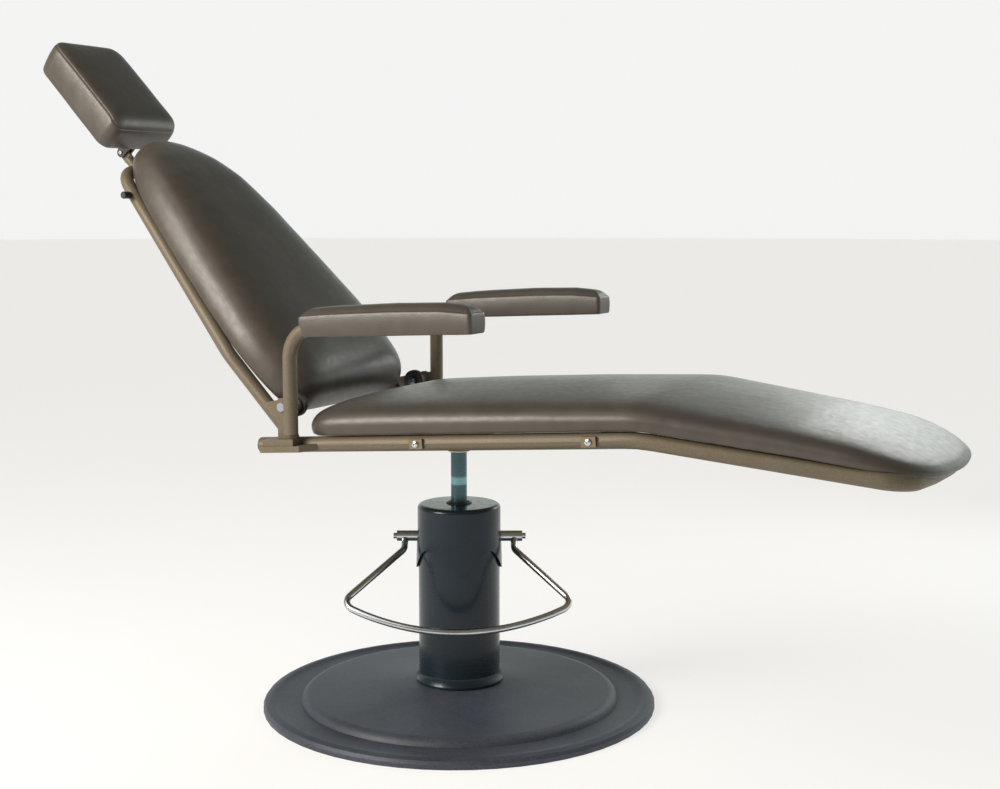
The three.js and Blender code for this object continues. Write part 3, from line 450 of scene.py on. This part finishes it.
KNEE = 0.454
KNEE_SLOPE = math.tan(math.radians(10.5))
SEAT_HALF = 0.2475
SEAT_REAR = -0.191
SEAT_TOE = 0.913
FOOT_TAPER = 0.08
SEAT_LOW = 0.0150


def seat_line(x):
    """Height of the rails' top line in the seat's frame, rounded at the knee."""
    soft = 0.022
    past = x - KNEE
    if past < -soft:
        return SEAT_LOW
    if past > soft:
        return SEAT_LOW - KNEE_SLOPE * past
    return SEAT_LOW - KNEE_SLOPE * (past + soft) ** 2 / (4 * soft)


def seat_outline():
    toe = SEAT_HALF - FOOT_TAPER * (SEAT_TOE - 0.125 - KNEE)
    half = [
        *bezier((SEAT_REAR, 0), (SEAT_REAR, -0.07), (SEAT_REAR, -0.14), (SEAT_REAR + 0.004, -0.18), 18),
        *bezier((SEAT_REAR + 0.004, -0.18), (SEAT_REAR + 0.008, -0.225), (SEAT_REAR + 0.026, -SEAT_HALF),
                (SEAT_REAR + 0.072, -SEAT_HALF), 14),
        (KNEE, -SEAT_HALF - 0.0005),
        *bezier((SEAT_TOE - 0.135, -toe), (SEAT_TOE - 0.058, -toe + 0.008), (SEAT_TOE - 0.016, -toe * 0.76),
                (SEAT_TOE - 0.006, -toe * 0.40), 24),
        *bezier((SEAT_TOE - 0.006, -toe * 0.40), (SEAT_TOE - 0.002, -toe * 0.24), (SEAT_TOE, -toe * 0.12),
                (SEAT_TOE, 0), 12),
    ]
    return half + [(SEAT_TOE, 0)] + [(x, -y) for x, y in half[:0:-1]]


seat_depth = along_table([
    (-0.196, 0.054), (-0.17, 0.063), (-0.13, 0.0685), (-0.06, 0.0715), (0.05, 0.0715), (0.27, 0.068),
    (0.43, 0.0615), (0.58, 0.056), (0.70, 0.052), (0.78, 0.048), (0.83, 0.042), (0.87, 0.034),
    (0.90, 0.026), (0.92, 0.021),
])
SEAT_SECTION = [
    (1.0, 0), (0.6, 0), (0.3, 0), (0.075, 0), (0.045, 0.0), (0.022, 0.004), (0.009, 0.03), (0.002, 0.09),
    (-0.004, 0.19), (-0.004, 0.29), (0.002, 0.38), (0.012, 0.455), (0.028, 0.53), (0.05, 0.60),
    (0.08, 0.662), (0.125, 0.722),
    (0.19, 0.778), (0.28, 0.833), (0.40, 0.885), (0.55, 0.935), (0.72, 0.972), (0.87, 0.994), (1.0, 1.0),
]
# The toe of the pad hangs over the front bar: how far its edge drops below the rails' line.
toe_drop = along_table([(0.70, 0.0), (0.80, 0.002), (0.87, 0.009), (0.92, 0.013)])


def build_seat():
    points, faces = cushion(
        seat_outline(), lambda p: (min(max(p[0], SEAT_REAR + 0.16), SEAT_TOE - 0.17), 0.0), SEAT_SECTION,
        lambda p: seat_depth(p[0]), lambda p, h: (p[0], p[1], seat_line(p[0]) - toe_drop(p[0]) + h), 300)
    return make("seat_cushion", points, faces, LOOKS["vinyl"], "seat", SEAT, ("seat_pad",), 60)


# ---- back pad ----

BACK_FACE = -0.0365
BACK_LOW = 0.002
BACK_TOP = 0.682
BACK_HALF_WIDTH = [
    (0.002, 0.130), (0.0035, 0.150), (0.011, 0.171), (0.027, 0.187), (0.055, 0.198), (0.100, 0.2045), (0.165, 0.2060),
    (0.250, 0.1960), (0.350, 0.1800), (0.450, 0.1620), (0.525, 0.1450), (0.580, 0.1250), (0.620, 0.1010),
    (0.650, 0.0740), (0.670, 0.0440), (0.679, 0.0200), (0.682, 0.0),
]


def smooth_line(points, count):
    """A Catmull-Rom curve through points, evenly spaced."""
    points = np.array(points, float)
    ends = np.vstack([2 * points[0] - points[1], points, 2 * points[-1] - points[-2]])
    out = []
    for i in range(1, len(ends) - 2):
        for t in np.linspace(0, 1, 12, endpoint=False):
            p0, p1, p2, p3 = ends[i - 1:i + 3]
            out.append(0.5 * (2 * p1 + (p2 - p0) * t + (2 * p0 - 5 * p1 + 4 * p2 - p3) * t ** 2
                              + (3 * p1 - p0 - 3 * p2 + p3) * t ** 3))
    out.append(ends[-2])
    out = np.array(out)
    steps = np.linalg.norm(np.diff(out, axis=0), axis=1)
    along = np.concatenate([[0], np.cumsum(steps)])
    wanted = np.linspace(0, along[-1], count)
    return np.stack([np.interp(wanted, along, out[:, i]) for i in range(2)], 1)


def back_outline():
    right = [(0, BACK_LOW), *smooth_line([(half, z) for z, half in BACK_HALF_WIDTH], 90).tolist()]
    return right + [(-y, z) for y, z in right[-2:0:-1]]


back_depth = along_table([
    (0.0, 0.082), (0.05, 0.0845), (0.15, 0.0855), (0.45, 0.0855), (0.54, 0.081), (0.60, 0.073),
    (0.64, 0.064), (0.69, 0.052),
])
BACK_SECTION = [
    (1.0, 0), (0.6, 0), (0.3, 0), (0.1, 0), (0.04, 0.0), (0.012, 0.008), (0.002, 0.035), (-0.002, 0.09),
    (-0.004, 0.18),
    (-0.001, 0.27), (0.008, 0.38), (0.022, 0.49), (0.041, 0.585), (0.068, 0.68), (0.105, 0.77), (0.155, 0.84),
    (0.22, 0.895), (0.31, 0.94), (0.41, 0.968), (0.53, 0.987), (0.68, 0.997), (0.84, 1.0), (1.0, 1.0),
]


def build_back():
    points, faces = cushion(
        back_outline(), lambda p: (0.0, min(max(p[1], 0.17), 0.52)), BACK_SECTION,
        lambda p: back_depth(p[1]), lambda p, h: (BACK_FACE + h, p[0], p[1]), 280)
    return make("back_cushion", points, faces, LOOKS["vinyl"], "backrest", BACK, ("back_pad",), 60)


# ---- headrest pad ----

HEAD_LOW, HEAD_HIGH, HEAD_HALF = 0.708, 0.940, 0.0955
HEAD_BACK = -0.065


def rounded_box(x0, x1, y0, y1, radii, steps=10):
    """A plan rectangle with its own radius at each corner, counted from x0,y0 anticlockwise."""
    corners = [(x0, y0, math.pi), (x1, y0, 1.5 * math.pi), (x1, y1, 0), (x0, y1, 0.5 * math.pi)]
    signs = [(1, 1), (-1, 1), (-1, -1), (1, -1)]
    outline = []
    for (x, y, start), (sx, sy), radius in zip(corners, signs, radii):
        for k in range(steps + 1):
            angle = start + 0.5 * math.pi * k / steps
            outline.append((x + sx * radius + radius * math.cos(angle), y + sy * radius + radius * math.sin(angle)))
    return outline


HEAD_SECTION = [
    (1.0, 0), (0.5, 0), (0.14, 0), (0.08, 0.0), (0.03, 0.014), (0.006, 0.05), (-0.004, 0.12), (-0.014, 0.3),
    (-0.020, 0.5), (-0.014, 0.68), (-0.002, 0.785), (0.010, 0.815), (0.030, 0.826), (0.014, 0.837), (0.018, 0.86),
    (0.035, 0.893), (0.075, 0.925), (0.15, 0.957), (0.28, 0.984), (0.48, 1.002), (0.74, 1.012), (1.0, 1.015),
]


def build_head():
    outline = rounded_box(-HEAD_HALF, HEAD_HALF, HEAD_LOW, HEAD_HIGH, (0.022, 0.022, 0.026, 0.026))

    def depth(p):
        return 0.078 - 0.003 * max(0.0, (p[1] - 0.86) / 0.074) ** 2 - 0.013 * max(0.0, (0.745 - p[1]) / 0.037) ** 2
    points, faces = cushion(
        outline, lambda p: (0.0, min(max(p[1], HEAD_LOW + 0.09), HEAD_HIGH - 0.09)), HEAD_SECTION, depth,
        lambda p, h: (HEAD_BACK + h, p[0], p[1] + 1.7 * max(0.0, p[1] - 0.86) * h), 200)
    return make("headrest_cushion", points, faces, LOOKS["vinyl"], "headrest", BACK, ("headrest_pad",), 60)


# ---- arm pads ----

ARM_TILT = math.tan(math.radians(3))
ARM_BOTTOM = 0.713
ARM_Y = 0.259
ARM_REAR, ARM_FRONT = -0.1605, 0.1805
ARM_HALF = 0.028
ARM_CORNER = 0.006
ARM_SECTION = [
    (1.0, 0), (0.4, 0), (0.16, 0.0), (0.06, 0.006), (0.01, 0.03), (-0.015, 0.09), (-0.035, 0.25), (-0.040, 0.42),
    (-0.025, 0.58), (0.0, 0.69), (0.03, 0.735), (0.075, 0.752), (0.115, 0.762), (0.16, 0.79), (0.26, 0.845),
    (0.42, 0.915), (0.62, 0.965), (0.82, 0.992), (1.0, 1.0),
]


def build_arm(side):
    name = "right" if side < 0 else "left"
    outline = rounded_box(ARM_REAR, ARM_FRONT, -ARM_HALF, ARM_HALF, (ARM_CORNER,) * 4, 6)
    depth = along_table([
        (-0.158, 0.050), (-0.10, 0.0535), (0.03, 0.056), (0.12, 0.0545), (0.15, 0.051), (0.181, 0.047),
    ])

    def lift(p, h):
        lean = 0.011 * max(0.0, 1 - h / 0.03) if p[0] < -0.12 else 0.0
        return (p[0] + lean * (-0.12 - p[0]) / 0.037, p[1] + side * ARM_Y, ARM_BOTTOM + p[0] * ARM_TILT + h)
    points, faces = cushion(
        outline, lambda p: (min(max(p[0], -0.135), 0.155), 0.0), ARM_SECTION, lambda p: depth(p[0]), lift, 260)
    return make(f"arm_cushion_{name}", points, faces, LOOKS["vinyl"], "seat", WORLD,
                (f"arm_pad_{name}",), 60)


# ---- slack in the covers ----

HOLLOWS = [(0.00055, 9.0), (0.000242, 31.0)]    # depth and number per metre of the slow hollows
CREASE_WIDTH, CREASE_DEPTH = 0.007, 0.0013
# Pull creases up the seat's sides: where each starts along the seat, its slant and its length.
SIDE_PULLS = [(0.10, 0.50, 0.055), (0.31, 0.46, 0.05), (0.52, -0.42, 0.06), (0.74, 0.5, 0.045), (0.83, -0.5, 0.04)]


def slacken(piece, creases):
    """Sinks points a little: slow hollows all over, and creases, each (start, direction, length) in world metres."""
    mesh = piece.data
    normals = [v.normal.copy() for v in mesh.vertices]
    for v, normal in zip(mesh.vertices, normals):
        sink = sum(depth * (1 + perlin.noise(v.co * pitch)) for depth, pitch in HOLLOWS)
        for start, direction, length in creases:
            offset = v.co - start
            along = offset.dot(direction)
            across = (offset - direction * along).length
            if 0 < along < length:
                fade = math.sin(math.pi * along / length)
                sink += CREASE_DEPTH * fade * math.exp(-(across / CREASE_WIDTH) ** 2)
        v.co -= normal * sink
    mesh.update()


def seat_creases():
    creases = []
    for x, slant, length in SIDE_PULLS:
        for side in (-1, 1):
            start = SEAT @ Vector((x, side * 0.246, seat_line(x) + 0.004))
            creases.append((start, Vector((slant, -0.25 * side, 1)).normalized(), length))
    return creases


cushions = [build_seat(), build_back(), build_head(), build_arm(-1), build_arm(1)]
for piece in cushions:
    slacken(piece, seat_creases() if piece.name == "seat_cushion" else [])
    subdivision = piece.modifiers.new("rounding", "SUBSURF")
    subdivision.levels = 1
    subdivision.render_levels = 1

# ---- pedal loop ----

PEDAL_LEAN = math.radians(55)
PEDAL_RADIUS = 0.0064
PEDAL_SIDES = 24
SHAFT_BACK, SHAFT_HEIGHT = 0.036, 0.310
LEG_ACROSS, LEG_TOP, LEG_BEND = 0.103, 0.0107, 0.034
CORNER_ACROSS, CORNER_DOWN = 0.213, 0.168
FRONT_BOW = 0.067


def pedal_point(across, down):
    """A point of the loop's plane, across the shaft and down the lean from it, in the pump's frame."""
    return np.array((across, SHAFT_BACK - down * math.sin(PEDAL_LEAN), SHAFT_HEIGHT - down * math.cos(PEDAL_LEAN)))


def rounded_path(corners, steps=10):
    """A path through corners, each [point, bend radius], with an arc at each corner that has a radius."""
    path = []
    for i, (point, radius) in enumerate(corners):
        if not radius:
            path.append(point)
            continue
        before, after = corners[i - 1][0] - point, corners[i + 1][0] - point
        before, after = before / np.linalg.norm(before), after / np.linalg.norm(after)
        half = 0.5 * math.acos(float(before @ after))
        middle = (before + after) / np.linalg.norm(before + after)
        centre = point + middle * radius / math.sin(half)
        start = point + before * radius / math.tan(half) - centre
        end = point + after * radius / math.tan(half) - centre
        sweep = math.pi - 2 * half
        for k in range(steps + 1):
            share = k / steps
            arm = start * math.sin((1 - share) * sweep) + end * math.sin(share * sweep)
            path.append(centre + arm / math.sin(sweep))
    return path


def build_pedal():
    """One bent rod: a leg from each end of the shaft, and a front bar bowed like the rim of the base."""
    def bowed(across):
        return CORNER_DOWN + FRONT_BOW * (1 - (across / CORNER_ACROSS) ** 2)
    bow = [[pedal_point(u, bowed(u)), 0] for u in np.linspace(-0.170, 0.170, 21)]
    leg = [
        [pedal_point(-LEG_ACROSS, LEG_TOP), 0], [pedal_point(-LEG_ACROSS, LEG_BEND), 0.020],
        [pedal_point(-CORNER_ACROSS, CORNER_DOWN), 0.022],
    ]
    far = [[p * (-1, 1, 1), r] for p, r in leg[::-1]]
    path = np.array(rounded_path([*leg, *bow, *far]))
    along = np.gradient(path, axis=0)
    along /= np.linalg.norm(along, axis=1, keepdims=True)
    flat = np.cross((1, 0, 0), pedal_point(0, 1) - pedal_point(0, 0))
    aside = np.cross(along, flat)
    turns = np.linspace(0, 2 * math.pi, PEDAL_SIDES, endpoint=False)
    rings = [
        [p + PEDAL_RADIUS * (math.cos(a) * flat + math.sin(a) * b) for a in turns] for p, b in zip(path, aside)]
    rings = [[path[0]] * PEDAL_SIDES, *rings, [path[-1]] * PEDAL_SIDES]
    points, faces = rings_mesh(rings)
    return make("pedal_rod", points, faces, LOOKS["chrome"], "pedal", PUMP, ("pedal_loop",), 50)


build_pedal()

# ---- fasteners ----


SCREW_RADIUS = 0.0062
SCREW_HEIGHT = SCREW_RADIUS * 0.62
CLIP_FACE = 0.2502


def pan_screw(name, place):
    """A pan-head screw with a round recess, its head standing out along the frame's Z axis."""
    r, h = SCREW_RADIUS, SCREW_HEIGHT
    profile = [(0, -0.002), (r, -0.002), (r, h * 0.25), (r * 0.92, h * 0.62), (r * 0.66, h * 0.92),
               (r * 0.34, h), (r * 0.30, h * 0.5), (0, h * 0.45)]
    turned(name, profile, LOOKS["chrome"], "seat", place, 24)


for bar, x in (("middle", 0.054), ("front", 0.376)):
    for side, tag in ((-1, "right"), (1, "left")):
        spot = SEAT @ Vector((x, side * CLIP_FACE, 0))
        pan_screw(f"clip_screw_{bar}_{tag}", facing(spot, (0, side, 0)))

# ---- room: pale floor, plain backdrop and soft light ----


FLOOR_HALF = 40
BACKDROP_RADIUS = 39


def emission_only(name, colour, strength):
    material = bpy.data.materials.new(name)
    material.use_nodes = True
    tree = material.node_tree
    tree.nodes.clear()
    output = tree.nodes.new("ShaderNodeOutputMaterial")
    shader = tree.nodes.new("ShaderNodeEmission")
    shader.inputs["Color"].default_value = (*colour, 1)
    shader.inputs["Strength"].default_value = strength
    tree.links.new(shader.outputs[0], output.inputs["Surface"])
    return material


floor_mesh = bpy.data.meshes.new("floor")
corners = [(-FLOOR_HALF, -FLOOR_HALF, 0), (FLOOR_HALF, -FLOOR_HALF, 0), (FLOOR_HALF, FLOOR_HALF, 0),
           (-FLOOR_HALF, FLOOR_HALF, 0)]
floor_mesh.from_pydata(corners, [], [(0, 1, 2, 3)])
floor = bpy.data.objects.new("floor", floor_mesh)
scene.collection.objects.link(floor)
floor_look, floor_tree, floor_shader = new_material("floor")
floor_tree.links.new(
    ramp(floor_tree, noise(floor_tree, coordinates(floor_tree), 3, 4), [(0.3, grey(0.37)), (0.7, grey(0.38))]),
    floor_shader.inputs["Base Color"])
floor_shader.inputs["Emission Color"].default_value = (1.0, 0.985, 0.965, 1)
floor_shader.inputs["Emission Strength"].default_value = 0.66
floor_shader.inputs["Roughness"].default_value = 0.9
floor_shader.inputs["Specular IOR Level"].default_value = 0.05
floor_mesh.materials.append(floor_look)

dome_mesh = bpy.data.meshes.new("backdrop")
shell = bmesh.new()
bmesh.ops.create_icosphere(shell, subdivisions=4, radius=BACKDROP_RADIUS)
shell.to_mesh(dome_mesh)
shell.free()
dome_mesh.shade_smooth()
backdrop = bpy.data.objects.new("backdrop", dome_mesh)
scene.collection.objects.link(backdrop)
dome_mesh.materials.append(emission_only("backdrop", (1.0, 1.0, 0.995), 0.90))
backdrop.visible_diffuse = False
backdrop.visible_glossy = False
backdrop.visible_transmission = False
backdrop.visible_shadow = False

world = bpy.data.worlds.new("room")
scene.world = world
world.use_nodes = True
sky = world.node_tree
sky.nodes.clear()
sky_out = sky.nodes.new("ShaderNodeOutputWorld")
sky_light = sky.nodes.new("ShaderNodeBackground")
sky_way = sky.nodes.new("ShaderNodeTexCoord")
sky_split = sky.nodes.new("ShaderNodeSeparateXYZ")
sky.links.new(sky_way.outputs["Generated"], sky_split.inputs[0])
behind = ramp(sky, sky_split.outputs["Z"], [
    (0.0, (0.95, 1.0, 0.96)), (0.25, (0.80, 0.88, 0.83)), (0.42, (0.24, 0.28, 0.26)), (0.62, (0.08, 0.10, 0.095)),
])
before = ramp(sky, sky_split.outputs["Z"], [(0.0, (0.20, 0.19, 0.18)), (0.6, (0.17, 0.17, 0.165)), (1.0, grey(0.12))])
side = ramp(sky, math_node(sky, "ADD", math_node(sky, "MULTIPLY", sky_split.outputs["Y"], 0.9), 0.35),
            [(0.0, grey(0)), (1.0, grey(1))])
sky_mix = sky.nodes.new("ShaderNodeMix")
sky_mix.data_type = "RGBA"
sky.links.new(side, sky_mix.inputs["Factor"])
sky.links.new(before, sky_mix.inputs["A"])
sky.links.new(behind, sky_mix.inputs["B"])
sky.links.new(sky_mix.outputs["Result"], sky_light.inputs["Color"])
sky_light.inputs["Strength"].default_value = 1.25
sky.links.new(sky_light.outputs[0], sky_out.inputs["Surface"])


def lamp(name, kind, towards, energy, colour):
    data = bpy.data.lights.new(name, kind)
    data.energy = energy
    data.color = colour
    piece = bpy.data.objects.new(name, data)
    scene.collection.objects.link(piece)
    piece.rotation_euler = Vector(towards).to_track_quat("-Z", "Y").to_euler()
    return piece


def softbox(name, place, target, size, power, colour):
    box = lamp(name, "AREA", Vector(target) - Vector(place), power, colour)
    box.data.size = size
    box.location = place
    box.visible_camera = False


key = lamp("key", "SUN", (0.42, 0.60, -0.68), 0.9, (1.0, 0.96, 0.90))
key.data.angle = math.radians(60)
softbox("shoulder_box", (-1.5, -2.3, 1.7), (-0.4, -0.2, 0.9), 1.2, 74, (1.0, 0.93, 0.84))
softbox("rear_box", (0.72, 1.9, 1.42), (0.88, 0, 0.46), 0.9, 10, (0.96, 1.0, 0.97))

scene.view_settings.view_transform = "Standard"
scene.view_settings.look = "None"
